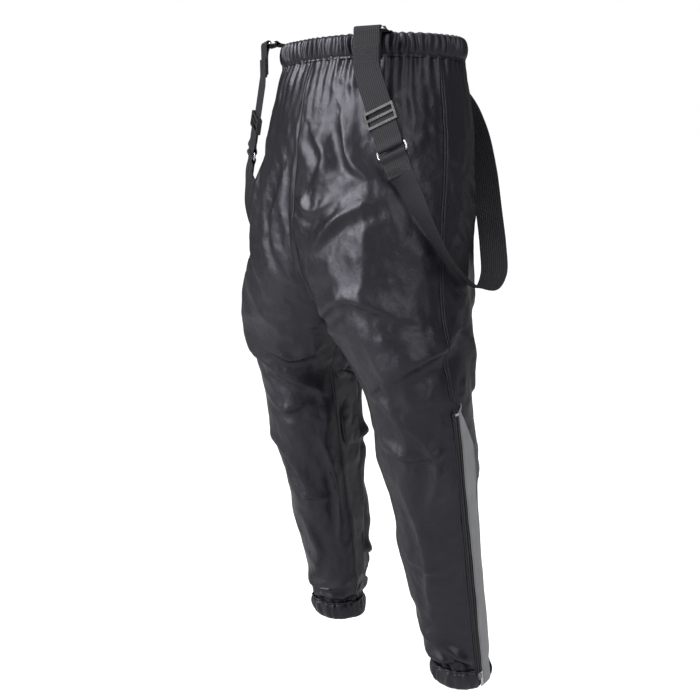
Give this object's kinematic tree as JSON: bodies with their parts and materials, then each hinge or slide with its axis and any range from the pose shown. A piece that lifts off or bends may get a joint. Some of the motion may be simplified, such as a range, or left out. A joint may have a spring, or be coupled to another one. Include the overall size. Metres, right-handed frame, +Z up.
{
  "type": "bunker pants",
  "caption": "Waterproof over-trousers with elastic waist and cuffs, outer leg zips with reflective strips, and hanging webbing braces on wire rings.",
  "frame": {"origin": "middle of the waist opening, level with the top of the waistband", "axes": "+Z up, the front of the garment faces -Y, the wearer's left is +X"},
  "size_m": [0.4866, 0.2949, 0.9921],
  "materials": {
    "shell_fabric": "thin black coated waterproof nylon, soft gloss, crumpled",
    "elastic": "black woven elastic, matte",
    "reflective_tape": "grey retro-reflective tape, satin",
    "zip_tape": "black zip tape with a nylon coil",
    "webbing": "black woven webbing, matte",
    "ring_steel": "bright plated steel wire",
    "zip_metal": "nickel-plated zip metal",
    "buckle_plastic": "black moulded plastic"
  },
  "bodies": {
    "garment": {"waistband_casing": "shell_fabric", "waist_elastic": "elastic", "front_panel_left": "shell_fabric", "back_panel_left": "shell_fabric", "reflective_strip_left": "reflective_tape", "cuff_casing_left": "shell_fabric", "cuff_elastic_left": "elastic", "zip_front_half_left": "zip_tape", "zip_rear_half_left": "zip_tape", "zip_top_stop_left": "zip_metal", "zip_bottom_stop_left": "zip_metal", "brace_tab_left": "webbing", "brace_waist_ring_left": "ring_steel", "brace_loop_left": "webbing", "brace_back_tab_left": "webbing", "front_panel_right": "shell_fabric", "back_panel_right": "shell_fabric", "reflective_strip_right": "reflective_tape", "cuff_casing_right": "shell_fabric", "cuff_elastic_right": "elastic", "zip_front_half_right": "zip_tape", "zip_rear_half_right": "zip_tape", "zip_top_stop_right": "zip_metal", "zip_bottom_stop_right": "zip_metal", "brace_tab_right": "webbing", "brace_waist_ring_right": "ring_steel", "brace_loop_right": "webbing", "brace_back_tab_right": "webbing"},
    "brace_left": {"brace_front_strap_left": "webbing", "brace_lower_ring_left": "ring_steel", "brace_long_strap_left": "webbing"},
    "adjuster_left": {"brace_adjuster_left": "buckle_plastic"},
    "slider_left": {"zip_slider_left": "zip_metal"},
    "pull_left": {"zip_pull_left": "zip_metal"},
    "brace_right": {"brace_front_strap_right": "webbing", "brace_lower_ring_right": "ring_steel", "brace_long_strap_right": "webbing"},
    "adjuster_right": {"brace_adjuster_right": "buckle_plastic"},
    "slider_right": {"zip_slider_right": "zip_metal"},
    "pull_right": {"zip_pull_right": "zip_metal"}
  },
  "joints": [
    {"name": "brace_swing_left", "type": "hinge", "parent": "garment", "child": "brace_left", "pos_m": [0.12373, -0.11243, -0.027], "axis": [0.3873, -0.922, 0], "range_deg": [0, 150]},
    {"name": "brace_adjust_left", "type": "slide", "parent": "brace_left", "child": "adjuster_left", "axis": [-0.3814, -0.072, 0.9216], "range_m": [-0.015, 0.04]},
    {"name": "zip_slide_left", "type": "slide", "parent": "garment", "child": "slider_left", "axis": [0.0395, -0.1828, 0.9824], "range_m": [0, 0.437]},
    {"name": "zip_pull_turn_left", "type": "hinge", "parent": "slider_left", "child": "pull_left", "pos_m": [0.20377, 0.06001, -0.96354], "axis": [0, -0.9831, -0.1829], "range_deg": [0, 165]},
    {"name": "brace_swing_right", "type": "hinge", "parent": "garment", "child": "brace_right", "pos_m": [-0.12373, -0.11243, -0.027], "axis": [0.3873, 0.922, 0], "range_deg": [0, 150]},
    {"name": "brace_adjust_right", "type": "slide", "parent": "brace_right", "child": "adjuster_right", "axis": [0.3814, -0.072, 0.9216], "range_m": [-0.015, 0.04]},
    {"name": "zip_slide_right", "type": "slide", "parent": "garment", "child": "slider_right", "axis": [-0.0395, -0.1828, 0.9824], "range_m": [0, 0.437]},
    {"name": "zip_pull_turn_right", "type": "hinge", "parent": "slider_right", "child": "pull_right", "pos_m": [-0.20377, 0.06001, -0.96354], "axis": [0, 0.9831, 0.1829], "range_deg": [0, 165]}
  ]
}
